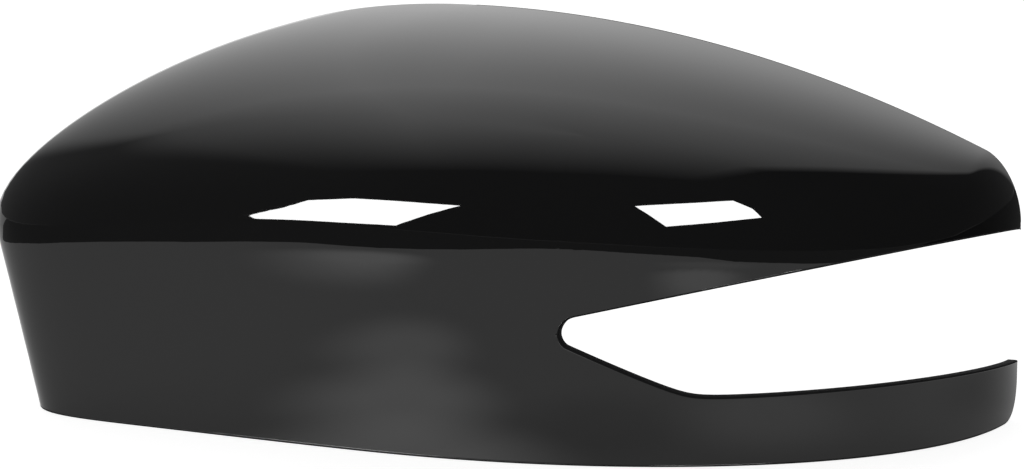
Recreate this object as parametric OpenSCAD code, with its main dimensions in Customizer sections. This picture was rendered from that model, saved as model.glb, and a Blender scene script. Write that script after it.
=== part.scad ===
// Door mirror cover for the left-hand side, one moulding with its snap hooks, pegs and ribs.
// X runs outboard, -Y is the front, +Z is up. The cover stands on its bottom edge.
// The skin is worked out in a drawing frame: x from an inboard datum to the outboard end,
// back from the rear plane towards the front, and rise above the top of the lower panel.

/* [Shell] */
// Distance from the inboard datum to the outboard end
outboard_x = 219; // [205:1:240]
// Depth from the frontmost point to the rear rim
shell_depth = 78; // [72:1:86]
// Height of the rear rim at its peak
peak_h = 91; // [85:1:100]
// Thickness of the moulded wall
wall = 2.5; // [2:0.1:3.2]

/* [Front face] */
// Distance of the frontmost point from the inboard datum
nose_x = 97; // [88:1:110]
// Slope of the inboard stretch of the front face, seen from above
inboard_slope = 0.1; // [0.06:0.01:0.18]
// Length over which the inboard stretch bends into its slope
slope_bend = 20; // [10:1:40]
// Height of the upright lower panel at its highest point
panel_h = 45.2; // [42:0.2:50]
// Distance of that highest point from the inboard datum
panel_x = 118; // [105:1:130]
// Height of the panel at the outboard end
panel_end_h = 41.4; // [39:0.2:44]
// Fullness of the curve from the panel to the rear rim, where 2 is an ellipse
shoulder_power = 2.5; // [2.1:0.05:2.8]

/* [Rear rim] */
// Distance of the rim's peak from the inboard datum
peak_x = 86; // [78:1:92]
// Height of the rim at the outboard end, before its corner is rounded
rim_end_h = 59.2; // [57:0.2:64]
// Height of the crown's line at the inboard datum
datum_h = 73.2; // [69:0.2:77]
// Width of the rounded upper corner at the outboard end
end_corner_w = 8.7; // [6:0.1:12]
// Height of the rounded upper corner at the outboard end
end_corner_h = 14; // [6:0.5:16]

/* [Inboard wall] */
// Angle of the inboard wall to the length, seen from above
wall_angle = 52; // [48:1:60]
// Distance of the inboard wall from the rim's peak
wall_reach = 51.6; // [45:0.2:58]
// Outward lean of the inboard wall, per mm of height
wall_lean = 0.27; // [0.1:0.01:0.35]
// Firmness of the rounded edges round the inboard wall
edge_power = 4; // [3.5:0.1:6]

/* [Lamp slot] */
// Distance of the slot's inboard tip from the inboard datum
slot_tip_x = 129.7; // [122:0.1:145]
// Height of the tip
slot_tip_h = 30.2; // [28:0.2:34]
// Radius of the rounded tip
slot_tip_r = 3.3; // [2:0.1:4]
// Rise of the slot's upper edge, per mm outboard
slot_rise = 0.28; // [0.22:0.01:0.3]
// Fall of that edge, per mm that the front face sweeps back
slot_sweep_fall = 0.185; // [0.12:0.005:0.24]
// Slope of the slot's lower edge from the tip down to the strip
slot_floor_slope = 0.44; // [0.35:0.01:0.6]
// Height of the strip under the slot
strip_h = 16.2; // [14:0.2:20]
// Rise of the strip's upper edge, per mm that the front face sweeps back
strip_sweep_rise = 0.03; // [0:0.005:0.06]
// Length of the rounding at the end of that edge
strip_end_l = 9; // [5:0.5:12]
// Fall of the edge over that rounding
strip_end_fall = 4; // [2:0.5:5]
// Radius of the strip's rounded lower corner at the outboard end
strip_corner_r = 12; // [8:0.5:14]

/* [Rim hooks] */
// Number of snap hooks under the rear rim
rim_hook_count = 3; // [2:1:4]
// Distance of the first rim hook from the inboard datum
rim_hook_x = 92; // [80:1:100]
// Distance from one rim hook to the next
rim_hook_pitch = 42; // [32:1:44]
// Distance of the hooks from the rear plane
rim_hook_setback = 8; // [5:0.5:12]
// Width of each hook
hook_w = 10; // [7:0.5:14]
// Thickness of each hook's leg
hook_t = 2; // [1.4:0.1:2.6]
// Length of each hook's leg below the crown
hook_drop = 13; // [10:0.5:16]
// Depth of each hook's nose
hook_nose = 2; // [1.2:0.1:3]
// Length of the rib that braces each hook, towards the front
rib_l = 34; // [24:1:44]
// Depth of that rib where it meets the hook
rib_depth = 8; // [5:0.5:10]
// Thickness of the ribs
rib_t = 1.6; // [1.2:0.1:2.2]

/* [Lower tabs] */
// Number of tabs along the bottom edge
tab_count = 3; // [2:1:4]
// Distance of the first tab from the inboard datum
tab_x = 30; // [20:1:40]
// Distance from one tab to the next
tab_pitch = 62; // [50:1:64]
// Height of the tabs above the bottom edge
tab_z = 4; // [3:0.5:6]
// Width of each tab
tab_w = 12; // [8:0.5:16]
// Length of each tab behind the front wall
tab_l = 9; // [6:0.5:12]
// Thickness of each tab
tab_t = 2; // [1.4:0.1:2.6]
// Height of the catch on each tab
catch_h = 1.5; // [1:0.1:2.2]

/* [Locating pegs] */
// Distances of the two pegs from the inboard datum
peg_x = [36, 92]; // [30:1:100]
// Height of the pegs
peg_z = 27; // [22:1:34]
// Diameter of each peg
peg_d = 6; // [5:0.5:8]
// Length of each peg behind the front wall
peg_l = 20; // [14:1:26]
// Reach of the four fins round each peg's foot
peg_fin = 4; // [2:0.5:6]

/* [Hidden] */

// Columns of the skin: round the rim's peak, along the front to the tip, round the tip, to the
// end. Most of the first ones stand round the corner between the front and the inboard wall, and
// a spacing above 1 draws the last ones closer together towards the end.
fan_steps = 30;
corner_start = 4;
corner_end = 21;
corner_spread = 17;
front_steps = 15;
tip_steps = 5;
end_steps = 30;
end_spacing = 1.35;
tip_column = fan_steps + front_steps;
last_column = tip_column + tip_steps + end_steps;
// Rows of the skin: below the slot or the seam that runs on from its tip, and above it
strip_rows = 5;
crown_rows = 22;
slot_row = strip_rows;
last_row = strip_rows + 1 + crown_rows;
// Passes of the settling loop, after which a point lies on the skin to a hundredth of a millimetre
settle_steps = 9;
// How far a moulded feature is sunk into the wall that carries it
root = 0.6 * wall;
// Thickness of the slices that the hulls join
slice = 0.2;

// Rounding from 0 at an edge to 1 at a distance of r from it, as a quarter circle
function quarter(d, r) = sqrt(1 - pow(1 - min(1, max(0, d) / r), 2));

// Height of the upper limit of the lower panel at x, a parabola through its outboard end
function panel_at(x) =
    panel_h - (panel_h - panel_end_h) * pow((x - panel_x) / (outboard_x - panel_x), 2);

// Depth from the rear plane to the front skin at x: a straight inboard stretch with a soft
// bend, then a quarter ellipse from the nose to the outboard end
function depth_at(x, inset) =
    let (d = x - nose_x)
    d < 0
    ? shell_depth - inset - inboard_slope * (sqrt(d * d + slope_bend * slope_bend) - slope_bend)
    : (shell_depth - inset) * sqrt(max(0, 1 - pow(d / (outboard_x - nose_x - inset), 2)));

// Height of the rear rim at x without its rounded corner: a parabola on each side of the peak
function rim_line(x) =
    x > peak_x
    ? peak_h - (peak_h - rim_end_h) * pow((x - peak_x) / (outboard_x - peak_x), 2)
    : peak_h - (peak_h - datum_h) * pow((peak_x - x) / peak_x, 2);

// How far the front face has swept back at x since the slot's tip
function sweep(x) = depth_at(slot_tip_x, 0) - depth_at(x, 0);

// Height of the slot's upper and lower edges at x, with the rounded tip
function slot_top(x) =
    slot_tip_h
    + slot_tip_r * quarter(x - slot_tip_x, slot_tip_r)
    + slot_rise * (x - slot_tip_x)
    - slot_sweep_fall * sweep(x);
function slot_floor(x, inset) =
    let (
        ramp = slot_tip_h - slot_tip_r * 0.63 * quarter(x - slot_tip_x, slot_tip_r / 2)
            - slot_floor_slope * (x - slot_tip_x),
        strip = strip_h + strip_sweep_rise * sweep(x)
            - strip_end_fall * (1 - quarter(depth_at(x, inset), strip_end_l)),
        over = ramp - strip,
        soft = slot_tip_r / 5
    )
    strip + (over + sqrt(over * over + soft * soft)) / 2;

// The outboard corners are rounded no further than the wall beside them reaches
end_land = 1.5;
end_top = max(slot_top(outboard_x), panel_at(outboard_x)) + end_land;
rim_corner_h = max(0, min(end_corner_h, rim_line(outboard_x) - end_top));
strip_corner = min(strip_corner_r, slot_floor(outboard_x, 0) - end_land);

// Height of the rear rim and of the bottom edge at x, with their rounded outboard corners
function rim_at(x, inset) =
    let (out = min(1, max(0, x - outboard_x + end_corner_w) / (end_corner_w - inset)))
    rim_line(x) - inset - max(0, rim_corner_h - inset) * (1 - sqrt(1 - out * out));
function foot_at(x, inset) = strip_corner * (1 - quarter(depth_at(x, inset), strip_corner));

// Height of the crown above the lower panel at x
function crown_at(x, inset) = rim_at(x, inset) - panel_at(x);

// Share of the way to the skin at a point [x, back, rise], which is 1 on the skin. The front
// and crown are a superellipse, and a power mean rounds its edge with the inboard wall.
function share(p, inset) =
    let (
        front = p[1] / depth_at(p[0], inset),
        up = max(0, p[2]) / crown_at(p[0], inset),
        body = pow(pow(front, shoulder_power) + pow(up, shoulder_power), 1 / shoulder_power),
        side = max(0, (peak_x - p[0]) * sin(wall_angle) - p[1] * cos(wall_angle))
            / (wall_reach - inset + wall_lean * p[2])
    )
    pow(pow(body, edge_power) + pow(side, edge_power), 1 / edge_power);

// Point at a scale along the ray [dx, back, rise] from the peak's foot in the rear plane. A
// level below 1 is a share of the panel's height, and there the ray is level.
function ray_point(ray, scale, level) =
    let (x = peak_x + scale * ray[0])
    [x, scale * ray[1], level < 1 ? (level - 1) * panel_at(x) : scale * ray[2]];

// Scale at which that ray meets the skin, settled by dividing by the share again and again
function settle(ray, level, inset, scale, n) =
    n == 0 ? scale
    : settle(ray, level, inset, scale / share(ray_point(ray, scale, level), inset), n - 1);

// A level from 1 to 2 runs over the crown, from the lower panel to the rear rim
function over(level) = pow(cos(90 * (level - 1)), 2 / shoulder_power);
function up(level) = pow(sin(90 * (level - 1)), 2 / shoulder_power);

// Level of a height on the front skin at x
function level_of(x, z, inset) =
    z < panel_at(x) ? z / panel_at(x)
    : 1 + asin(min(1, pow((z - panel_at(x)) / crown_at(x, inset), shoulder_power / 2))) / 90;

// Point [x, y, z] of the skin in a fan column, at an angle from the inboard direction
function fan_point(angle, level, inset) =
    let (
        reach = shell_depth - inset,
        flat = level < 1 ? 1 : over(level),
        lift = level < 1 ? 0 : up(level) * crown_at(peak_x, inset),
        ray = [-cos(angle) * reach * flat, sin(angle) * reach * flat, lift],
        p = ray_point(ray, settle(ray, level, inset, 1, settle_steps), level)
    )
    [p[0], shell_depth - p[1], p[2] + panel_at(p[0])];

// Point of the skin in a column at x, outboard of the peak
function front_point(x, level, inset) =
    let (depth = depth_at(x, inset))
    level < 1 ? [x, shell_depth - depth, level * panel_at(x)]
    : [
        x,
        shell_depth - depth * over(level),
        panel_at(x) + crown_at(x, inset) * up(level)
    ];

// The x of each column outboard of the peak, spaced by angle round the plan ellipse
function plan_x(angle, inset) = nose_x + (outboard_x - nose_x - inset) * sin(angle);
function plan_angle(x, inset) = asin((x - nose_x) / (outboard_x - nose_x - inset));
tip_end_x = slot_tip_x + slot_tip_r;
function column_x(u, inset) =
    u <= tip_column
    ? let (
        first = plan_angle(peak_x, inset),
        last = plan_angle(slot_tip_x, inset)
    )
    plan_x(first + (last - first) * (u - fan_steps) / front_steps, inset)
    : u <= tip_column + tip_steps
    ? slot_tip_x + slot_tip_r * (1 - cos(90 * (u - tip_column) / tip_steps))
    : let (
        first = plan_angle(tip_end_x, inset),
        left = (last_column - u) / end_steps
    )
    plan_x(90 - (90 - first) * pow(left, end_spacing), inset);

// Level of row r in the column at x: the lower rows end at the slot's lower edge, the upper
// rows start at its upper edge, and inboard of the tip both meet at the tip's level
tip_level = slot_tip_h / panel_at(slot_tip_x);
function row_level(u, r, x, inset) =
    let (
        low = u <= tip_column ? tip_level : level_of(x, slot_floor(x, inset), inset),
        high = u <= tip_column ? tip_level : level_of(x, slot_top(x), inset),
        foot = u <= fan_steps ? 0 : foot_at(x, inset) / panel_at(x)
    )
    r <= slot_row ? foot + (low - foot) * r / strip_rows
    : high + (2 - high) * (r - slot_row - 1) / crown_rows;

// Angle of a fan column from the inboard direction, close together round the corner's angle
corner_back = depth_at(0, 0);
corner_angle =
    atan(corner_back * sin(wall_angle) / (wall_reach + corner_back * cos(wall_angle)));
function fan_angle(u) =
    let (first = corner_angle - corner_spread, last = corner_angle + corner_spread)
    u < corner_start ? first * u / corner_start
    : u < corner_end
    ? first + (last - first) * (u - corner_start) / (corner_end - corner_start)
    : last + (90 - last) * (u - corner_end) / (fan_steps - corner_end);

// One skin as columns of rows, put end to end
function skin(inset) = [
    for (u = [0:last_column])
    let (x = u <= fan_steps ? peak_x : column_x(u, inset))
    for (r = [0:last_row])
    let (level = row_level(u, r, x, inset))
    u < fan_steps
    ? fan_point(fan_angle(u), level, inset)
    : front_point(x, level, inset)
];

// Index of a skin point. The fan's columns share the rim's peak, and the two rows beside the
// slot are one row inboard of its tip.
function at(u, r) =
    let (
        shared = r == last_row && u <= fan_steps,
        seam = r == slot_row + 1 && u <= tip_column
    )
    shared ? last_row : u * (last_row + 1) + (seam ? slot_row : r);

// The open edge, from the foot of the inboard wall's rear edge and round
edge = concat(
    [for (u = [0:last_column]) at(u, 0)],
    [for (r = [1:slot_row]) at(last_column, r)],
    [for (u = [last_column - 1:-1:tip_column]) at(u, slot_row)],
    [for (u = [tip_column + 1:last_column]) at(u, slot_row + 1)],
    [for (r = [slot_row + 2:last_row]) at(last_column, r)],
    [for (u = [last_column - 1:-1:fan_steps]) at(u, last_row)],
    [for (r = [last_row - 1:-1:slot_row + 2]) at(0, r)],
    [for (r = [slot_row:-1:1]) at(0, r)]
);

// Two triangles of a patch between columns, or one where two of its corners are the same
function patch(a, b, c, d) =
    concat(a == b ? [] : [[a, b, c]], c == d ? [] : [[a, c, d]]);

outer_skin = skin(0);
inner_skin = skin(wall);
skin_count = len(outer_skin);

// The cover is centred on the middle of its own outline
low_x = min([for (p = outer_skin) p[0]]);
centre_x = (low_x + outboard_x) / 2;
centre_y = shell_depth / 2;

// Height of the underside of the crown at x and y, and y of the front wall's inner face
function crown_under(x, y) =
    panel_at(x) + crown_at(x, wall) * pow(
        max(0, 1 - pow((shell_depth - y) / depth_at(x, wall), shoulder_power)),
        1 / shoulder_power
    );
function front_inner(x) = shell_depth - depth_at(x, wall);

// The moulded wall between the outer and inner skins
module shell() {
    patches = [
        for (u = [0:last_column - 1])
        for (r = [0:last_row - 1])
        if (r != slot_row)
        each patch(at(u, r), at(u + 1, r), at(u + 1, r + 1), at(u, r + 1))
    ];
    outside = [for (t = patches) [t[0], t[2], t[1]]];
    inside = [for (t = patches) [for (i = t) i + skin_count]];
    rim = [
        for (k = [0:len(edge) - 1])
        let (a = edge[k], b = edge[(k + 1) % len(edge)])
        each [[a, b, b + skin_count], [a, b + skin_count, a + skin_count]]
    ];
    polyhedron(points = concat(outer_skin, inner_skin), faces = concat(outside, inside, rim));
}

// A snap hook that hangs from the crown near the rear rim, with a brace rib towards the front
module rim_hook(x) {
    y = shell_depth - rim_hook_setback;
    foot = crown_under(x, y) - hook_drop;
    hull()
        for (side = [-1, 1]) {
            edge_x = x + side * (hook_w - slice) / 2;
            translate([edge_x - slice / 2, y, foot])
                cube([slice, hook_t, crown_under(edge_x, y + hook_t) + root - foot]);
        }
    translate([x - hook_w / 2, y + hook_t, foot])
        rotate([90, 0, 90])
            linear_extrude(hook_w)
                polygon([[-hook_t / 2, 0], [0, 0], [hook_nose, 1.5 * hook_nose], [-hook_t / 2, 2 * hook_nose]]);
    crown_rib(x, y + hook_t / 2, rib_l, rib_depth);
}

// A rib that follows the underside of the crown from y forwards, and fades out
module crown_rib(x, y, length, depth) {
    steps = 10;
    ys = [for (k = [0:steps]) y - length * k / steps];
    sunk = [for (v = ys) [v, crown_under(x, v) + root]];
    edge_below = [
        for (k = [steps:-1:0])
        [ys[k], crown_under(x, ys[k]) - depth * sqrt(max(0, 1 - k / steps))]
    ];
    translate([x - rib_t / 2, 0, 0])
        rotate([90, 0, 90])
            linear_extrude(rib_t)
                polygon(concat(sunk, edge_below));
}

// A flat tab behind the bottom edge, with a catch along its end
module lower_tab(x) {
    end_y = front_inner(x) + tab_l;
    hull()
        for (side = [-1, 1]) {
            edge_x = x + side * (tab_w - slice) / 2;
            start_y = front_inner(edge_x) - root;
            translate([edge_x - slice / 2, start_y, tab_z])
                cube([slice, end_y - start_y, tab_t]);
        }
    hull() {
        translate([x - tab_w / 2, end_y - 2 * catch_h, tab_z])
            cube([tab_w, 2 * catch_h, tab_t]);
        translate([x - tab_w / 2, end_y - 2 * catch_h, tab_z])
            cube([tab_w, catch_h / 2, tab_t + catch_h]);
    }
}

// A round peg behind the front wall, with four fins round its foot
module locating_peg(x) {
    start_y = front_inner(x) - root;
    length = peg_l + root;
    translate([x, start_y, peg_z])
        rotate([-90, 0, 0]) {
            cylinder(d = peg_d, h = length, $fn = 48);
            for (turn = [0:90:270])
                rotate([0, 0, turn])
                    hull() {
                        translate([0, -rib_t / 2, 0])
                            cube([peg_d / 2 + peg_fin, rib_t, root + slice]);
                        translate([0, -rib_t / 2, 0])
                            cube([peg_d / 2, rib_t, length / 2]);
                    }
        }
}

module mirror_cover() {
    color("#101113")
        translate([-centre_x, -centre_y, 0]) {
            shell();
            for (k = [0:rim_hook_count - 1])
                rim_hook(rim_hook_x + k * rim_hook_pitch);
            for (k = [0:tab_count - 1])
                lower_tab(tab_x + k * tab_pitch);
            for (x = peg_x)
                locating_peg(x);
        }
}

mirror_cover();
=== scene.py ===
import math

import bpy
import numpy as np
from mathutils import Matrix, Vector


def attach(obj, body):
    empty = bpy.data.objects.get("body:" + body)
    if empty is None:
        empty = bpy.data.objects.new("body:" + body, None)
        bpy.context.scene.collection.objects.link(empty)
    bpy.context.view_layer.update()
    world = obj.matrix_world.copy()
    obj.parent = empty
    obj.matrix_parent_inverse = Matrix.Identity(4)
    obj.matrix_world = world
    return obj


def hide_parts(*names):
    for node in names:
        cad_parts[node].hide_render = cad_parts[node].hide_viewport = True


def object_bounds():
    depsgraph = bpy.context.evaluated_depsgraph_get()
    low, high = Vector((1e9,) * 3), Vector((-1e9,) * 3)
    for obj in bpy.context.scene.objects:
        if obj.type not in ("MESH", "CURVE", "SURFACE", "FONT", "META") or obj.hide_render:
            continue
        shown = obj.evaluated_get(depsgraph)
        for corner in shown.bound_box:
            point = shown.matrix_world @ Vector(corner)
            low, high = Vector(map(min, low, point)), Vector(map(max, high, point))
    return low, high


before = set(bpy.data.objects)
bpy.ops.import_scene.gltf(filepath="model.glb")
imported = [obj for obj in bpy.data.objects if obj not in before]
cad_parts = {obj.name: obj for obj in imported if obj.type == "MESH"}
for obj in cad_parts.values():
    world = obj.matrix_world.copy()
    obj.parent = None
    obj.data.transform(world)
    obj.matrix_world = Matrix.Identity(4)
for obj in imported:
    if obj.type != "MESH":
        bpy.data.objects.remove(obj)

# Door mirror cover for the left-hand side: one ABS moulding, painted gloss black outside.
# The skin is worked out in millimetres in a drawing frame: x from an inboard datum to the
# outboard end, y from the frontmost point to the rear plane, z up from the bottom edge.
CAD_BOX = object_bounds()
MM = 0.001

# Sizes of the moulding in mm, as in the CAD source but for the strip's upper edge, its blend
# with the ramp and its lower end corner, which are drawn finer
OUTBOARD_X, SHELL_DEPTH, PEAK_H, WALL = 219.0, 78.0, 91.0, 2.5
INBOARD_END_X = OUTBOARD_X - (CAD_BOX[1][0] - CAD_BOX[0][0]) / MM
NOSE_X, INBOARD_SLOPE, SLOPE_BEND = 97.0, 0.1, 20.0
PANEL_H, PANEL_X, PANEL_END_H = 45.2, 118.0, 41.4
SHOULDER_POWER, EDGE_POWER = 2.5, 4.0
PEAK_X, RIM_END_H, DATUM_H = 86.0, 59.2, 73.2
END_CORNER_W, END_CORNER_H = 8.7, 14.0
WALL_ANGLE, WALL_REACH, WALL_LEAN = math.radians(52), 51.6, 0.27
SLOT_TIP_X, SLOT_TIP_H, SLOT_TIP_R = 129.7, 30.2, 3.3
SLOT_RISE, SLOT_SWEEP_FALL, SLOT_FLOOR_SLOPE = 0.28, 0.185, 0.44
TIP_FLOOR_SHARE, SLOT_BLEND = 0.63, 1.8
STRIP_H, STRIP_TOP_DEPTH, STRIP_FALL = 16.45, 45.0, 3.04
STRIP_CORNER_R, END_LAND = 9.0, 1.5
OUTER_EDGE_R, INNER_EDGE_R = 0.4, 0.3
RIM_HOOK_PLACES, RIM_HOOK_SETBACK = (92.0, 134.0, 176.0), 8.0
HOOK_W, HOOK_T, HOOK_DROP, HOOK_NOSE = 10.0, 2.0, 13.0, 2.0
RIB_L, RIB_DEPTH, RIB_T = 34.0, 8.0, 1.6
TAB_PLACES, TAB_Z, TAB_W, TAB_L, TAB_T, CATCH_H = (30.0, 92.0, 154.0), 4.0, 12.0, 9.0, 2.0, 1.5
PEG_PLACES, PEG_Z, PEG_D, PEG_L, PEG_FIN, PEG_END_R = (36.0, 92.0), 27.0, 6.0, 20.0, 4.0, 0.6
ROOT, MOULDED_RADIUS = 0.6 * WALL, 0.25

# Steps of the meshes: settling a ray on the skin, the cut edge's rounding, a peg's turn and its end
SETTLE_STEPS, EDGE_STEPS, PEG_SIDES, PEG_END_STEPS = 16, 4, 48, 4


# Skin of the cover

def quarter(d, r):
    """Rounding by a quarter circle: 0 at an edge, 1 at a distance of r from it."""
    return np.sqrt(1 - (1 - np.clip(d / r, 0, 1)) ** 2)


def panel_top(x):
    """Upper limit of the upright lower panel: a parabola with its peak at PANEL_X."""
    return PANEL_H - (PANEL_H - PANEL_END_H) * ((x - PANEL_X) / (OUTBOARD_X - PANEL_X)) ** 2


def front_depth(x, inset):
    """Depth from the rear plane to the front skin: inboard of the nose a hyperbola that runs
    into a straight slope, outboard of it a quarter ellipse that ends at the rear plane."""
    d = x - NOSE_X
    full = SHELL_DEPTH - inset
    inboard = full - INBOARD_SLOPE * (np.hypot(d, SLOPE_BEND) - SLOPE_BEND)
    outboard = full * np.sqrt(np.clip(1 - (d / (OUTBOARD_X - NOSE_X - inset)) ** 2, 0, 1))
    return np.where(d < 0, inboard, outboard)


def rim_line(x):
    """Height of the rear rim: one parabola on each side of its peak."""
    outboard = (PEAK_H - RIM_END_H) * ((x - PEAK_X) / (OUTBOARD_X - PEAK_X)) ** 2
    inboard = (PEAK_H - DATUM_H) * ((PEAK_X - x) / PEAK_X) ** 2
    return PEAK_H - np.where(x > PEAK_X, outboard, inboard)


def sweep(x):
    """How far the front face has swept back since the slot's tip."""
    return front_depth(np.array(SLOT_TIP_X), 0) - front_depth(x, 0)


def slot_top(x):
    """Upper edge of the lamp slot: a rounded tip, a rise along x, and a fall in step with the
    sweep of the front face."""
    tip = SLOT_TIP_H + SLOT_TIP_R * quarter(x - SLOT_TIP_X, SLOT_TIP_R)
    return tip + SLOT_RISE * (x - SLOT_TIP_X) - SLOT_SWEEP_FALL * sweep(x)


def slot_floor(x, inset):
    """Lower edge of the lamp slot: a slope from the rounded tip that blends into the strip's
    top, as the soft maximum of the two. The strip's top is a parabola of the front's depth,
    highest at STRIP_TOP_DEPTH, and falls towards the strip's outboard end."""
    ramp = SLOT_TIP_H - TIP_FLOOR_SHARE * SLOT_TIP_R * quarter(x - SLOT_TIP_X, SLOT_TIP_R / 2)
    strip = STRIP_H - STRIP_FALL * (1 - front_depth(x, inset) / STRIP_TOP_DEPTH) ** 2
    above = ramp - SLOT_FLOOR_SLOPE * (x - SLOT_TIP_X) - strip
    return strip + (above + np.hypot(above, SLOT_BLEND)) / 2


END_X = np.array(OUTBOARD_X)
END_WALL_H = float(rim_line(END_X) - np.maximum(slot_top(END_X), panel_top(END_X)))
RIM_CORNER_H = min(END_CORNER_H, END_WALL_H - END_LAND)
STRIP_CORNER = min(STRIP_CORNER_R, float(slot_floor(END_X, 0)) - END_LAND)


def rim_height(x, inset):
    """The rim line with its outboard corner rounded by a quarter ellipse."""
    out = np.clip((x - OUTBOARD_X + END_CORNER_W) / (END_CORNER_W - inset), 0, 1)
    return rim_line(x) - inset - (RIM_CORNER_H - inset) * (1 - np.sqrt(1 - out ** 2))


def foot_height(x, inset):
    """Bottom edge: level, and rounded up by a quarter circle at the strip's outboard end."""
    return STRIP_CORNER * (1 - quarter(front_depth(x, inset), STRIP_CORNER))


def crown_height(x, inset):
    """Height of the crown above the lower panel."""
    return rim_height(x, inset) - panel_top(x)


def share(x, back, rise, inset):
    """Share of the way from the rear plane's foot to the skin. Front and crown are a
    superellipse of back and rise, and a power mean rounds its edge with the inboard wall, a
    plane that leans outwards as it rises."""
    front = (back / front_depth(x, inset)) ** SHOULDER_POWER
    up = (np.maximum(0, rise) / crown_height(x, inset)) ** SHOULDER_POWER
    body = (front + up) ** (1 / SHOULDER_POWER)
    away = (PEAK_X - x) * math.sin(WALL_ANGLE) - back * math.cos(WALL_ANGLE)
    side = np.maximum(0, away) / (WALL_REACH - inset + WALL_LEAN * rise)
    return (body ** EDGE_POWER + side ** EDGE_POWER) ** (1 / EDGE_POWER)


def over_and_up(level):
    """Level 1 to 2 runs over the crown: cosine and sine of the share of a quarter turn, each
    to the power 2 / SHOULDER_POWER, which are a superellipse's two coordinates."""
    turn = np.radians(90 * np.clip(level - 1, 0, 1))
    power = 2 / SHOULDER_POWER
    return np.cos(turn) ** power, np.sin(turn) ** power


def fan_points(angle, level, inset):
    """Skin inboard of the rim's peak: rays from the peak's foot, at an angle from the inboard
    direction, each stretched by 1 / share again and again until its end lies on the skin."""
    over, up = over_and_up(level)
    low = level < 1
    reach = (SHELL_DEPTH - inset) * np.where(low, 1, over)
    lift = np.where(low, 0, up * crown_height(np.array(PEAK_X), inset))
    scale = np.ones(np.broadcast(angle, level).shape)
    for _ in range(SETTLE_STEPS):
        x = PEAK_X - scale * np.cos(angle) * reach
        back = scale * np.sin(angle) * reach
        rise = np.where(low, (level - 1) * panel_top(x), scale * lift)
        scale = scale / share(x, back, rise, inset)
    x = PEAK_X - scale * np.cos(angle) * reach
    back = scale * np.sin(angle) * reach
    rise = np.where(low, (level - 1) * panel_top(x), scale * lift)
    return np.stack([x, SHELL_DEPTH - back, rise + panel_top(x)], -1)


def front_points(x, level, inset):
    """Skin outboard of the peak: an upright panel below level 1, a superellipse above it."""
    over, up = over_and_up(level)
    low = level < 1
    depth = front_depth(x, inset) * np.where(low, 1, over)
    height = panel_top(x) * np.where(low, level, 1) + np.where(low, 0, up * crown_height(x, inset))
    return np.stack([np.broadcast_to(x, depth.shape), SHELL_DEPTH - depth, height], -1)


def level_of(x, z, inset):
    """Level of a height on the front skin, the inverse of front_points."""
    share_up = np.clip((z - panel_top(x)) / crown_height(x, inset), 0, 1)
    turn = np.degrees(np.arcsin(share_up ** (SHOULDER_POWER / 2)))
    return np.where(z < panel_top(x), z / panel_top(x), 1 + turn / 90)


def spread(count, ends):
    """Shares from 0 to 1 in even steps, with one close step at each end to hold a cut edge."""
    even = np.linspace(0, 1, count)
    return np.concatenate([[0, ends], even[1:-1], [1 - ends, 1]])


# Columns: a fan round the peak, the front to the slot's tip, round the tip, on to the end
FAN = np.radians(np.concatenate([[0, 0.2], np.linspace(1, 90, 90)]))
FRONT_STEPS, TIP_STEPS, END_STEPS, END_SPACING = 56, 12, 92, 1.35
LOW_ROWS, HIGH_ROWS = spread(22, 0.01), spread(84, 0.002)


def column_places(inset):
    """x of the columns outboard of the peak, by angle round the plan ellipse: even as far as
    the slot, then closer and closer as a power of the angle left to the outboard end."""
    half = OUTBOARD_X - NOSE_X - inset
    tip_end = SLOT_TIP_X + SLOT_TIP_R
    to_angle = lambda x: math.asin((x - NOSE_X) / half)
    front = np.linspace(to_angle(PEAK_X), to_angle(SLOT_TIP_X), FRONT_STEPS + 1)
    round_tip = SLOT_TIP_X + SLOT_TIP_R * (1 - np.cos(np.linspace(0, math.pi / 2, TIP_STEPS + 1)))
    left = (math.pi / 2 - to_angle(tip_end)) * np.linspace(1, 0, END_STEPS + 1) ** END_SPACING
    return np.concatenate([
        NOSE_X + half * np.sin(front), round_tip[1:], NOSE_X + half * np.cos(left[1:])])


FAN_COLUMNS = len(FAN) - 1
TIP_COLUMN = FAN_COLUMNS + FRONT_STEPS
TIP_LEVEL = SLOT_TIP_H / float(panel_top(SLOT_TIP_X))


def skin_grids(inset):
    """The skin as a lower and an upper grid of points. Outboard of the slot's tip they end at
    its edges, and inboard of it they meet along a seam at the tip's level."""
    places = column_places(inset)[:, None]
    slotted = np.arange(len(places))[:, None] > FRONT_STEPS
    low_end = np.where(slotted, level_of(places, slot_floor(places, inset), inset), TIP_LEVEL)
    high_start = np.where(slotted, level_of(places, slot_top(places), inset), TIP_LEVEL)
    foot = foot_height(places, inset) / panel_top(places)
    fan = FAN[:-1, None]
    low = np.concatenate([
        fan_points(fan, TIP_LEVEL * LOW_ROWS[None, :], inset),
        front_points(places, foot + (low_end - foot) * LOW_ROWS, inset)])
    high = np.concatenate([
        fan_points(fan, TIP_LEVEL + (2 - TIP_LEVEL) * HIGH_ROWS[None, :], inset),
        front_points(places, high_start + (2 - high_start) * HIGH_ROWS, inset)])
    return low, high


def grid_faces(index):
    """Quads between the neighbours of an index grid, in one turn all over."""
    return np.stack([index[:-1, :-1], index[1:, :-1], index[1:, 1:], index[:-1, 1:]], -1).reshape(-1, 4)


def shell_indices(columns, low_rows, high_rows):
    """Index grids of the two blocks. The seam is shared inboard of the tip, and the fan's last
    row is one point, the rim's peak."""
    low = np.arange(columns * low_rows).reshape(columns, low_rows)
    high = low.size + np.arange(columns * high_rows).reshape(columns, high_rows)
    high[:TIP_COLUMN + 1, 0] = low[:TIP_COLUMN + 1, -1]
    high[:FAN_COLUMNS + 1, -1] = high[FAN_COLUMNS, -1]
    return low, high


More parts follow.
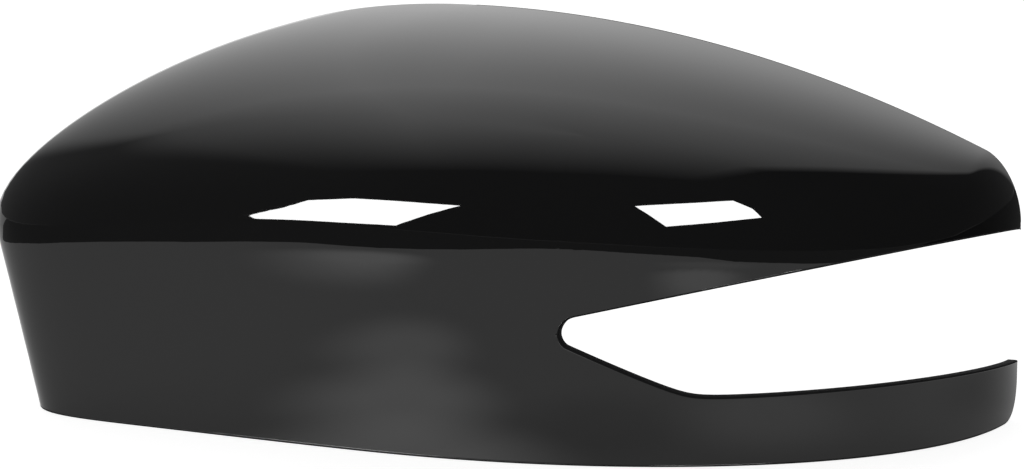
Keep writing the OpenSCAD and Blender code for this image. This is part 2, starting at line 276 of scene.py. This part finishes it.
def edge_loop(low, high):
    """The open edge as point indices, with the index of a point further in on the skin for
    each: bottom edge, strip end, slot, upper end, rim, and the inboard wall's rear edge."""
    column, low_row, high_row = [
        np.clip(np.arange(n), 3, n - 4) for n in (*low.shape, high.shape[1])]
    runs = [
        (low[:, 0], low[column, 3]),
        (low[-1, 1:], low[-4, low_row[1:]]),
        (low[-2:TIP_COLUMN - 1:-1, -1], low[column, -4][-2:TIP_COLUMN - 1:-1]),
        (high[TIP_COLUMN + 1:, 0], high[column, 3][TIP_COLUMN + 1:]),
        (high[-1, 1:], high[-4, high_row[1:]]),
        (high[-2:FAN_COLUMNS - 1:-1, -1], high[column, -4][-2:FAN_COLUMNS - 1:-1]),
        (high[0, -2:0:-1], high[3, high_row][-2:0:-1]),
        (low[0, -1:0:-1], low[3, low_row][-1:0:-1])]
    loop, inside = [np.concatenate(run) for run in zip(*runs)]
    inside[loop == low[TIP_COLUMN, -1]] = low[TIP_COLUMN - 3, -1]
    return loop, inside


def unit(v):
    """Vectors at length 1."""
    return v / np.maximum(np.linalg.norm(v, axis=-1, keepdims=True), 1e-9)


def drawn_back(points, loop, ways, radius):
    """Clears room for the rounding of the cut edge. A point moves over the skin, in the mean
    way of the edge weighted by 1 / distance ** 4, by radius * (1 - distance / (4 * radius)),
    so that the edge itself moves by the radius and overtakes nothing."""
    moved, edge = points.copy(), points[loop]
    for part in np.array_split(np.arange(len(points)), 32):
        gap = np.linalg.norm(points[part][:, None] - edge, axis=-1)
        weight = 1 / (gap + 1e-4) ** 4
        way = weight @ ways / weight.sum(1, keepdims=True)
        moved[part] += radius * np.maximum(0, 1 - gap.min(1, keepdims=True) / (4 * radius)) * way
    moved[loop] = edge + radius * ways
    return moved


def shell_mesh():
    """The moulded wall: outer skin, inner skin, and the cut edge between them, whose two
    corners are quarter circles. Nothing passes the rear plane or the outline's inboard end.
    Returns points, faces and each face's finish: 0 for paint, 1 for the bare inside and 2 for
    the cut."""
    low_out, high_out = skin_grids(0)
    low_in, high_in = skin_grids(WALL)
    low, high = shell_indices(len(low_out), low_out.shape[1], high_out.shape[1])
    outer = np.concatenate([low_out.reshape(-1, 3), high_out.reshape(-1, 3)])
    inner = np.concatenate([low_in.reshape(-1, 3), high_in.reshape(-1, 3)])
    loop, inside = edge_loop(low, high)
    start, end = outer[loop], inner[loop]
    across, along = unit(end - start), unit(np.roll(start, -1, 0) - np.roll(start, 1, 0))
    ways = outer[inside] - start
    ways = unit(ways - along * np.sum(ways * along, -1, keepdims=True))
    outer = drawn_back(outer, loop, ways, OUTER_EDGE_R)
    inner = drawn_back(inner, loop, ways, INNER_EDGE_R)
    turn = np.linspace(0, math.pi / 2, EDGE_STEPS + 1)[:, None, None]
    arc_out = start + OUTER_EDGE_R * ((1 - np.sin(turn)) * ways + (1 - np.cos(turn)) * across)
    arc_in = end + INNER_EDGE_R * ((1 - np.sin(turn)) * ways - (1 - np.cos(turn)) * across)
    bands = np.concatenate([arc_out[1:], arc_in[:0:-1]])
    count, ring = len(outer), len(loop)
    band_index = 2 * count + np.arange(bands.shape[0] * ring).reshape(-1, ring)
    rows = np.concatenate([loop[None], band_index, loop[None] + count])
    rows = np.concatenate([rows, rows[:, :1]], 1)
    skin_faces = np.concatenate([grid_faces(low), grid_faces(high)])
    edge_faces = grid_faces(rows)
    faces = np.concatenate([skin_faces, skin_faces[:, ::-1] + count, edge_faces[:, ::-1]])
    bands_of = np.repeat([2, 1], [EDGE_STEPS + 1, EDGE_STEPS])
    finish = np.concatenate([np.repeat([0, 1], len(skin_faces)), np.repeat(bands_of, ring)])
    points = np.concatenate([outer, inner, bands.reshape(-1, 3)])
    points[:, 0] = np.maximum(points[:, 0], INBOARD_END_X)
    points[:, 1] = np.minimum(points[:, 1], SHELL_DEPTH)
    return points, faces, finish


# Clip hooks, ribs, tabs and pegs behind the skin

def crown_under(x, y):
    """Height of the underside of the crown, the superellipse solved for its height."""
    back = (SHELL_DEPTH - y) / front_depth(x, WALL)
    rise = np.maximum(0, 1 - back ** SHOULDER_POWER) ** (1 / SHOULDER_POWER)
    return panel_top(x) + crown_height(x, WALL) * rise


def front_inner(x):
    """y of the front wall's inner face."""
    return SHELL_DEPTH - front_depth(np.array(x), WALL)


def prism(near, far):
    """Solid between two like outlines of points, one on each side, with flat ends."""
    near, far = np.asarray(near, float), np.asarray(far, float)
    count = len(near)
    step = np.arange(count)
    sides = np.stack([step, (step + 1) % count, (step + 1) % count + count, step + count], -1)
    return np.concatenate([near, far]), [step[::-1].tolist(), (step + count).tolist()] + sides.tolist()


def across_x(x, width, outline):
    """Prism across x from an outline of (y, z) pairs, a function of x at each side."""
    sides = [x - width / 2, x + width / 2]
    return prism(*[[(v, y, z) for y, z in outline(v)] for v in sides])


def hook_leg(x):
    """Leg with its nose: a flat leg that ends in a low three-cornered catch to the rear."""
    y = SHELL_DEPTH - RIM_HOOK_SETBACK
    foot = float(crown_under(np.array(x), y)) - HOOK_DROP
    def outline(v):
        top = float(crown_under(np.array(v), y + HOOK_T)) + ROOT
        return [(y, foot), (y + HOOK_T, foot), (y + HOOK_T + HOOK_NOSE, foot + 1.5 * HOOK_NOSE),
                (y + HOOK_T, foot + 2 * HOOK_NOSE), (y + HOOK_T, top), (y, top)]
    return across_x(x, HOOK_W, outline)


def crown_rib(x):
    """Brace rib: its upper edge is sunk in the crown, and its lower edge hangs by
    RIB_DEPTH * sqrt(1 - share of its length), so that it fades out towards the front."""
    y = SHELL_DEPTH - RIM_HOOK_SETBACK + HOOK_T / 2
    part = np.linspace(0, 1, 41)
    ys = y - RIB_L * part
    under = crown_under(np.array(x), ys)
    low_edge = under - RIB_DEPTH * np.sqrt(1 - part)
    outline = list(zip(ys, low_edge)) + list(zip(ys[::-1], under[::-1] + ROOT))
    return across_x(x, RIB_T, lambda v: outline[::-1])


def lower_tab(x):
    """Flat tab behind the bottom edge, with a ramped catch along its end."""
    end, top = float(front_inner(x)) + TAB_L, TAB_Z + TAB_T
    def outline(v):
        start = float(front_inner(v)) - ROOT
        return [(start, TAB_Z), (end, TAB_Z), (end, top), (end - 1.5 * CATCH_H, top + CATCH_H),
                (end - 2 * CATCH_H, top + CATCH_H), (end - 2 * CATCH_H, top), (start, top)]
    return across_x(x, TAB_W, outline)


def turned_peg(x):
    """Round peg: a profile of radius against length turned round an axis along y, with a
    rounded rim at its free end."""
    start = float(front_inner(x)) - ROOT
    length, r, flat = PEG_L + ROOT, PEG_D / 2, PEG_D / 2 - PEG_END_R
    arc = np.linspace(0, math.pi / 2, PEG_END_STEPS + 1)[1:]
    radius = np.concatenate([[1e-3, r, r], flat + PEG_END_R * np.cos(arc), [1e-3]])
    along = np.concatenate([[0, 0], length - PEG_END_R * (1 - np.sin([0, *arc])), [length]])
    turn = np.linspace(0, 2 * math.pi, PEG_SIDES + 1)[:-1, None]
    grid = np.stack([
        x + radius * np.cos(turn), start + along + 0 * turn, PEG_Z + radius * np.sin(turn)], -1)
    index = np.arange(grid[..., 0].size).reshape(grid.shape[:2])
    faces = grid_faces(np.concatenate([index, index[:1]]))
    return grid.reshape(-1, 3), faces[:, ::-1].tolist() + [index[:, 0].tolist(), index[::-1, -1].tolist()]


def peg_fin(x, quarter_turns):
    """Fin along the peg: a low step at the wall that tapers to the peg's side."""
    start = float(front_inner(x)) - ROOT
    half = (PEG_L + ROOT) / 2
    reach = PEG_D / 2 + PEG_FIN
    profile = [(0, 0), (reach, 0), (reach, ROOT + 0.2), (PEG_D / 2, half), (0, half)]
    angle = quarter_turns * math.pi / 2
    out = np.array([math.cos(angle), 0, math.sin(angle)])
    side = np.array([-math.sin(angle), 0, math.cos(angle)])
    rows = [[np.array([x, start + along, PEG_Z]) + out * radius + side * half_t
             for radius, along in profile] for half_t in (RIB_T / 2, -RIB_T / 2)]
    return prism(*rows)


def joined(parts):
    """Several (points, faces) as one."""
    counts = np.cumsum([0] + [len(points) for points, _ in parts])
    faces = [[i + int(base) for i in face] for (_, part), base in zip(parts, counts) for face in part]
    return np.concatenate([points for points, _ in parts]), faces


# Meshes

CENTRE = np.array([OUTBOARD_X - CAD_BOX[1][0] / MM, SHELL_DEPTH / 2, 0])


def add_piece(name, points, faces, materials, material_index=None):
    """A mesh object at the origin from points in the drawing frame and faces of indices, with
    unused points left out and repeated corners of a face joined."""
    used, again = np.unique(np.concatenate([np.asarray(f) for f in faces]), return_inverse=True)
    sizes = np.array([len(f) for f in faces])
    corners = np.split(again, np.cumsum(sizes)[:-1])
    corners = [list(dict.fromkeys(c.tolist())) for c in corners]
    keep = [i for i, c in enumerate(corners) if len(c) > 2]
    mesh = bpy.data.meshes.new(name)
    mesh.from_pydata(((points[used] - CENTRE) * MM).tolist(), [], [corners[i] for i in keep])
    for material in materials:
        mesh.materials.append(material)
    if material_index is not None:
        mesh.polygons.foreach_set("material_index", material_index[keep].astype(np.int32))
    mesh.polygons.foreach_set("use_smooth", np.full(len(keep), True))
    mesh.update()
    piece = bpy.data.objects.new(name, mesh)
    bpy.context.scene.collection.objects.link(piece)
    return piece


def cover_piece(piece):
    """A piece of the moulding: it rides on the body, and the node's CAD part is hidden so that it stands
    for the node.
    """
    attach(piece, "root")
    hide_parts("mirror_cover")
    return piece


# Materials

def linear(hex_colour):
    """sRGB hex to linear RGBA."""
    parts = [int(hex_colour[i:i + 2], 16) / 255 for i in (1, 3, 5)]
    curve = [c / 12.92 if c <= 0.04045 else ((c + 0.055) / 1.055) ** 2.4 for c in parts]
    return (*curve, 1.0)


def add_node(tree, kind, settings=(), links=()):
    """A node with its settings and its inputs, each a value or another node's output."""
    node = tree.nodes.new(kind)
    for key, value in dict(settings).items():
        setattr(node, key, value)
    for key, value in dict(links).items():
        if isinstance(value, bpy.types.NodeSocket):
            tree.links.new(value, node.inputs[key])
        else:
            node.inputs[key].default_value = value
    return node


def new_material(name):
    """An empty node material with its output."""
    material = bpy.data.materials.new(name)
    material.use_nodes = True
    material.node_tree.nodes.clear()
    output = material.node_tree.nodes.new("ShaderNodeOutputMaterial")
    return material, material.node_tree, output


def gloss_black_paint():
    """Two-layer automotive paint on ABS: a black base coat under a clear coat, sprayed and
    cured. The eye gets a deep black with sharp reflections and a faint orange peel."""
    # Scales are waves per metre: an orange peel of 4 mm, waves of the moulding of 36 mm, and
    # flecks in the base coat of 0.7 mm, which are coarser than real pigment so that they show
    material, tree, output = new_material("gloss_black_clearcoated_paint")
    place = add_node(tree, "ShaderNodeTexCoord")
    peel = add_node(tree, "ShaderNodeTexNoise", {}, {
        "Vector": place.outputs["Object"], "Scale": 260.0, "Detail": 1.0})
    wave = add_node(tree, "ShaderNodeTexNoise", {}, {
        "Vector": place.outputs["Object"], "Scale": 28.0, "Detail": 1.0})
    fine = add_node(tree, "ShaderNodeBump", {}, {
        "Strength": 0.01, "Distance": 0.0002, "Height": peel.outputs["Fac"]})
    broad = add_node(tree, "ShaderNodeBump", {}, {
        "Strength": 0.05, "Distance": 0.002, "Height": wave.outputs["Fac"],
        "Normal": fine.outputs["Normal"]})
    flake = add_node(tree, "ShaderNodeTexNoise", {}, {
        "Vector": place.outputs["Object"], "Scale": 1500.0, "Detail": 2.0})
    colour = add_node(tree, "ShaderNodeMix", {"data_type": "RGBA"}, {
        "Factor": flake.outputs["Fac"], "A": linear("#070708"), "B": linear("#0d0d0f")})
    surface = add_node(tree, "ShaderNodeBsdfPrincipled", {}, {
        "Base Color": colour.outputs[2], "Roughness": 0.35, "IOR": 1.5, "Specular IOR Level": 0.0,
        "Coat Weight": 1.0, "Coat Roughness": 0.012, "Coat IOR": 1.5,
        "Normal": broad.outputs["Normal"], "Coat Normal": broad.outputs["Normal"]})
    tree.links.new(surface.outputs[0], output.inputs["Surface"])
    return material


def bare_black_abs():
    """Black ABS as it leaves the mould, with a fine spark-eroded grain. The eye gets a
    charcoal satin with no sharp reflection."""
    # A grain of 0.6 mm, drawn coarser than the real 0.2 mm so that it shows, and flow patches
    # of 45 mm
    material, tree, output = new_material("bare_moulded_black_abs")
    place = add_node(tree, "ShaderNodeTexCoord")
    grain = add_node(tree, "ShaderNodeTexNoise", {}, {
        "Vector": place.outputs["Object"], "Scale": 1800.0, "Detail": 3.0})
    bump = add_node(tree, "ShaderNodeBump", {}, {
        "Strength": 0.35, "Distance": 0.0002, "Height": grain.outputs["Fac"]})
    patch = add_node(tree, "ShaderNodeTexNoise", {}, {
        "Vector": place.outputs["Object"], "Scale": 22.0, "Detail": 2.0})
    colour = add_node(tree, "ShaderNodeMix", {"data_type": "RGBA"}, {
        "Factor": patch.outputs["Fac"], "A": linear("#1d1d1f"), "B": linear("#27272a")})
    surface = add_node(tree, "ShaderNodeBsdfPrincipled", {}, {
        "Base Color": colour.outputs[2], "Roughness": 0.62, "IOR": 1.53, "Specular IOR Level": 0.35,
        "Normal": bump.outputs["Normal"]})
    tree.links.new(surface.outputs[0], output.inputs["Surface"])
    return material


def dry_overspray():
    """The cut edge of the moulding, which only dry overspray of the black coats reaches. The
    eye gets a matt, slightly dusty black."""
    # Dried droplets of 0.4 mm, drawn coarser than real ones so that they show
    material, tree, output = new_material("dry_black_overspray")
    place = add_node(tree, "ShaderNodeTexCoord")
    dust = add_node(tree, "ShaderNodeTexNoise", {}, {
        "Vector": place.outputs["Object"], "Scale": 2400.0, "Detail": 3.0})
    bump = add_node(tree, "ShaderNodeBump", {}, {
        "Strength": 0.4, "Distance": 0.0001, "Height": dust.outputs["Fac"]})
    colour = add_node(tree, "ShaderNodeMix", {"data_type": "RGBA"}, {
        "Factor": dust.outputs["Fac"], "A": linear("#0e0e10"), "B": linear("#18181a")})
    surface = add_node(tree, "ShaderNodeBsdfPrincipled", {}, {
        "Base Color": colour.outputs[2], "Roughness": 0.85, "IOR": 1.5, "Specular IOR Level": 0.12,
        "Normal": bump.outputs["Normal"]})
    tree.links.new(surface.outputs[0], output.inputs["Surface"])
    return material


PAINT, BARE, OVERSPRAY = gloss_black_paint(), bare_black_abs(), dry_overspray()

points, faces, finish = shell_mesh()
cover_piece(add_piece("cover_shell", points, faces, [PAINT, BARE, OVERSPRAY], finish))

FITTINGS = {
    "rim_hooks": [hook_leg(x) for x in RIM_HOOK_PLACES],
    "crown_ribs": [crown_rib(x) for x in RIM_HOOK_PLACES],
    "lower_tabs": [lower_tab(x) for x in TAB_PLACES],
    "locating_pegs": [turned_peg(x) for x in PEG_PLACES],
    "peg_fins": [peg_fin(x, turns) for x in PEG_PLACES for turns in range(4)]}
for name, parts in FITTINGS.items():
    fitting = cover_piece(add_piece(name, *joined(parts), [BARE]))
    softened = fitting.modifiers.new("moulded_radius", "BEVEL")
    softened.width, softened.segments, softened.limit_method = MOULDED_RADIUS * MM, 2, "ANGLE"
    softened.angle_limit, softened.harden_normals = math.radians(35), True


# Stage

def toward(origin, azimuth, elevation, distance):
    """Point at a distance from an origin, at angles in degrees; azimuth 0 is -Y."""
    a, e = math.radians(azimuth), math.radians(elevation)
    step = np.array([math.sin(a) * math.cos(e), -math.cos(a) * math.cos(e), math.sin(e)])
    return np.asarray(origin) + distance * step


def shape_point(x, y, z):
    """Point of the drawing frame in metres in the row frame."""
    return (np.array([x, y, z]) - CENTRE) * MM


def stage_piece(name, points, faces, material):
    """A mesh object of the studio, from points in metres in the row frame."""
    mesh = bpy.data.meshes.new(name)
    mesh.from_pydata([tuple(point) for point in points], [], faces)
    mesh.materials.append(material)
    piece = bpy.data.objects.new(name, mesh)
    bpy.context.scene.collection.objects.link(piece)
    return piece


def mirrored_panel(name, corners, strength):
    """A flat soft box or cloth. It is seen only by what reflects it, so that the level of the
    light stays plain."""
    material, tree, output = new_material(name + "_light")
    light = add_node(tree, "ShaderNodeEmission", {}, {"Strength": strength})
    tree.links.new(light.outputs[0], output.inputs["Surface"])
    panel = stage_piece(name, corners, [list(range(len(corners)))], material)
    panel.visible_camera = panel.visible_diffuse = panel.visible_shadow = False


FLOOR_RADIUS, FLOOR_DROP, DOME_RADIUS, CLOTH_Z = 14.0, 0.00005, 6.0, 0.4
# The table's light in the gloss, and what the camera sees on top of it, up to white
TABLE_LEVEL, TABLE_TO_CAMERA = 0.58, 0.3
# Soft pools of light and shade on the table round the cover: x, y, radius and gain
LIGHT_POOLS = [
    (-6, -190, 56, 0.8), (58, -96, 44, 0.5), (76, -46, 46, 0.75), (94, 4, 48, 0.9), (246, -160, 50, 0.6),
    (290, -225, 70, 0.2), (204, -16, 46, 0.22), (146, -30, 44, -0.12), (244, 96, 62, -0.3)]


def pale_table():
    """Pale table. It is white to the camera and pale in gloss, less the object's soft shadow.
    The pools show only in gloss."""
    material, tree, output = new_material("pale_table")
    path = add_node(tree, "ShaderNodeLightPath")
    place = add_node(tree, "ShaderNodeTexCoord")
    seen = path.outputs["Is Camera Ray"]
    for ray in ("Is Glossy Ray", "Is Transmission Ray"):
        seen = add_node(tree, "ShaderNodeMath", {"operation": "MAXIMUM"}, {
            0: seen, 1: path.outputs[ray]}).outputs[0]
    level = 0.0
    for x, y, radius, gain in LIGHT_POOLS:
        far = add_node(tree, "ShaderNodeVectorMath", {"operation": "DISTANCE"}, {
            0: place.outputs["Object"], 1: tuple(shape_point(x, y, 0))})
        pool = add_node(tree, "ShaderNodeMapRange", {"interpolation_type": "SMOOTHSTEP"}, {
            0: far.outputs["Value"], 1: 0.2 * radius * MM, 2: radius * MM, 3: gain, 4: 0.0})
        level = add_node(tree, "ShaderNodeMath", {"operation": "ADD"}, {
            0: pool.outputs[0], 1: level}).outputs[0]
    level = add_node(tree, "ShaderNodeMath", {"operation": "MULTIPLY_ADD"}, {
        0: level, 1: path.outputs["Is Glossy Ray"], 2: TABLE_LEVEL})
    level = add_node(tree, "ShaderNodeMath", {"operation": "MULTIPLY_ADD"}, {
        0: path.outputs["Is Camera Ray"], 1: TABLE_TO_CAMERA, 2: level.outputs[0]})
    glow = add_node(tree, "ShaderNodeMath", {"operation": "MULTIPLY"}, {0: seen, 1: level.outputs[0]})
    light = add_node(tree, "ShaderNodeEmission", {}, {"Strength": glow.outputs[0]})
    matt = add_node(tree, "ShaderNodeBsdfDiffuse", {}, {"Color": linear("#a9a9a9")})
    both = add_node(tree, "ShaderNodeAddShader", {}, {0: light.outputs[0], 1: matt.outputs[0]})
    tree.links.new(both.outputs[0], output.inputs["Surface"])
    turn = np.linspace(0, 2 * math.pi, 97)[:-1]
    ring = np.stack([
        FLOOR_RADIUS * np.cos(turn), FLOOR_RADIUS * np.sin(turn), 0 * turn - FLOOR_DROP], -1)
    stage_piece("pale_floor", ring, [list(range(len(ring)))], material)


# The room's formula: each line names a value, its operation and its inputs. LINEAR and
# SMOOTHSTEP are ramps: their inputs are the value that they follow, its start and end, and what
# the ramp gives at each. The tilt is the angle from the zenith in degrees, forward positive.
ROOM_FORMULA = [
    ("height", "MAXIMUM", "z", 0.002),
    ("to_front", "MULTIPLY", "y", -1.0),
    ("to_rear", "MAXIMUM", "y", 0.0),
    # Overhead soft light: strongest 30 degrees to the rear, none past 36 degrees to the front
    ("under", "MULTIPLY_ADD", "to_rear", 0.8, "height"),
    ("side", "DIVIDE", "x", "under"),
    ("lean", "MULTIPLY", "side", "height"),
    ("outboard_lean", "MAXIMUM", "lean", 0.0),
    ("ahead", "MULTIPLY_ADD", "lean", 0.55, "to_front"),
    ("ahead", "MULTIPLY_ADD", "outboard_lean", 0.23, "ahead"),
    ("tilt", "ARCTAN2", "ahead", "height"),
    ("tilt", "DEGREES", "tilt"),
    ("behind_peak", "LINEAR", "tilt", -90, -30, 0.75, 1.6),
    ("before_peak", "LINEAR", "tilt", -30, 36, 1.0, 0.0),
    ("glow", "MULTIPLY", "behind_peak", "before_peak"),
    # Its soft inboard edge with a long rise, its slow fall outboard, and its outboard edge
    ("inboard_edge", "SMOOTHSTEP", "side", -0.98, -0.78, 0.0, 1.0),
    ("inboard_rise", "LINEAR", "side", -1.08, -0.36, 0.0, 1.0),
    ("across", "LINEAR", "side", -0.36, 0.35, 1.08, 0.95),
    ("outboard_edge", "LINEAR", "side", 0.35, 0.425, 1.0, 0.0),
    ("glow", "MULTIPLY", "glow", "inboard_edge"),
    ("glow", "MULTIPLY", "glow", "inboard_rise"),
    ("glow", "MULTIPLY", "glow", "across"),
    ("glow", "MULTIPLY", "glow", "outboard_edge"),
    # Behind the cover it is weaker, and more so outboard
    ("rear_part", "SMOOTHSTEP", "y", 0.0, 0.8, 0.0, 1.0),
    ("rear_loss", "LINEAR", "x", -0.28, 0.52, -0.06, -0.8),
    ("share", "MULTIPLY_ADD", "rear_part", "rear_loss", 1.0),
    ("glow", "MULTIPLY", "glow", "share"),
    # Walls: lighter ahead than behind, and lightest inboard
    ("turned", "ARCTAN2", "x", "to_front"),
    ("forward", "COSINE", "turned"),
    ("walls", "MULTIPLY_ADD", "forward", 0.03, 0.1),
    ("off_inboard", "ADD", "turned", math.radians(85)),
    ("off_inboard", "ABSOLUTE", "off_inboard"),
    ("inboard_wall", "SMOOTHSTEP", "off_inboard", 0.0, math.radians(75), 0.12, 0.0),
    ("glow", "ADD", "glow", "walls"),
    ("glow", "ADD", "glow", "inboard_wall")]


def studio_dome():
    """The room: dark walls and a wide overhead soft light. Its strength is a function of the
    direction: ramps of the tilt from the zenith, which leans with x, times ramps of the lean to
    one side and a share towards the rear, and the walls' level on top."""
    material, tree, output = new_material("studio_room")
    place = add_node(tree, "ShaderNodeTexCoord")
    way = add_node(tree, "ShaderNodeVectorMath", {"operation": "NORMALIZE"}, {0: place.outputs["Object"]})
    axis = add_node(tree, "ShaderNodeSeparateXYZ", {}, {0: way.outputs[0]})
    value = dict(zip("xyz", axis.outputs))
    for name, operation, *inputs in ROOM_FORMULA:
        links = dict(enumerate(value[i] if isinstance(i, str) else i for i in inputs))
        if operation in ("LINEAR", "SMOOTHSTEP"):
            node = add_node(tree, "ShaderNodeMapRange", {"interpolation_type": operation}, links)
        else:
            node = add_node(tree, "ShaderNodeMath", {"operation": operation}, links)
        value[name] = node.outputs[0]
    light = add_node(tree, "ShaderNodeEmission", {}, {"Strength": value["glow"]})
    tree.links.new(light.outputs[0], output.inputs["Surface"])
    turn, lift = np.meshgrid(
        np.linspace(0, 2 * math.pi, 97), np.linspace(0, math.pi / 2, 25), indexing="ij")
    grid = DOME_RADIUS * np.stack([
        np.cos(turn) * np.cos(lift), np.sin(turn) * np.cos(lift), np.sin(lift)], -1)
    faces = grid_faces(np.arange(turn.size).reshape(turn.shape))
    dome = stage_piece("studio_dome", grid.reshape(-1, 3), faces.tolist(), material)
    dome.visible_camera = dome.visible_shadow = False


# Black cloths on the studio's floor, in front of the table and, darker, to its right
FRONT_CLOTH = [
    (-135, 60), (-150, -45), (-150, -80), (-140, -155), (-125, -190), (-100, -210), (-75, -245),
    (-50, -245), (-25, -255), (5, -280), (35, -330), (70, -420), (125, -530), (200, -590), (265, -530),
    (325, -475), (360, -385), (350, -260), (400, -180), (440, -30), (5000, -30), (5000, -5000),
    (-4000, -5000), (-4000, 60)]
RIGHT_CLOTH = [
    (440, -30), (400, 90), (330, 170), (280, 250), (240, 420), (240, 900), (1500, 5000), (5000, 5000),
    (5000, -30)]
# Soft boxes as azimuth and elevation of each corner, seen from the spot that mirrors them
SOFT_BOX_FAR, SOFT_BOX_STRENGTH = 2.0, 26.0
LEFT_SOFT_BOX = [
    (-32.8, 2.4), (-31.8, 13.2), (-28.3, 16.6), (-25.2, 17.2), (-23.9, 17.5), (-12.0, 19.1), (-21.9, 1.6),
    (-28.6, 0.9), (-32.4, 0.8)]
RIGHT_SOFT_BOX = [
    (17.5, 32.2), (30.7, 39.4), (43.3, 44.3), (45.4, 37.3), (44.8, 28.9), (33.2, 22.6), (21.7, 15.8)]

pale_table()
studio_dome()
for name, outline, strength in (("front_cloth", FRONT_CLOTH, 0.16), ("right_cloth", RIGHT_CLOTH, 0.05)):
    mirrored_panel(name, [shape_point(x, y, CLOTH_Z) for x, y in outline], strength)
for name, spot, outline in (
        ("left_soft_box", (85, 2, 56), LEFT_SOFT_BOX), ("right_soft_box", (158, 12, 58), RIGHT_SOFT_BOX)):
    corners = [toward(shape_point(*spot), a, e, SOFT_BOX_FAR) for a, e in outline]
    mirrored_panel(name, corners, SOFT_BOX_STRENGTH)

world = bpy.data.worlds.new("studio")
bpy.context.scene.world = world
world.use_nodes = True
world.node_tree.nodes["Background"].inputs["Color"].default_value = (1, 1, 1, 1)
world.node_tree.nodes["Background"].inputs["Strength"].default_value = 1.0

# Camera in the photograph's view, to the outboard side and a little from above. Angles are in
# degrees, the distance and the frame's width in metres, and the sensor in mm.
CAMERA_AZIMUTH, CAMERA_ELEVATION, CAMERA_FAR = 18.0, 12.5, 1.0
FRAME_WIDTH, SENSOR_WIDTH = 0.240 * 0.985, 36
camera_data = bpy.data.cameras.new("camera")
camera = bpy.data.objects.new("camera", camera_data)
bpy.context.scene.collection.objects.link(camera)
camera.location = toward(shape_point(108.936, 33.0, 45.527), CAMERA_AZIMUTH, CAMERA_ELEVATION, CAMERA_FAR)
camera.rotation_euler = (math.radians(90 - CAMERA_ELEVATION), 0, math.radians(CAMERA_AZIMUTH))
camera_data.sensor_width = SENSOR_WIDTH
camera_data.lens = SENSOR_WIDTH * CAMERA_FAR / FRAME_WIDTH
camera_data.clip_start, camera_data.clip_end = 0.01, 100
bpy.context.scene.camera = camera

bpy.context.scene.view_settings.view_transform = "Standard"
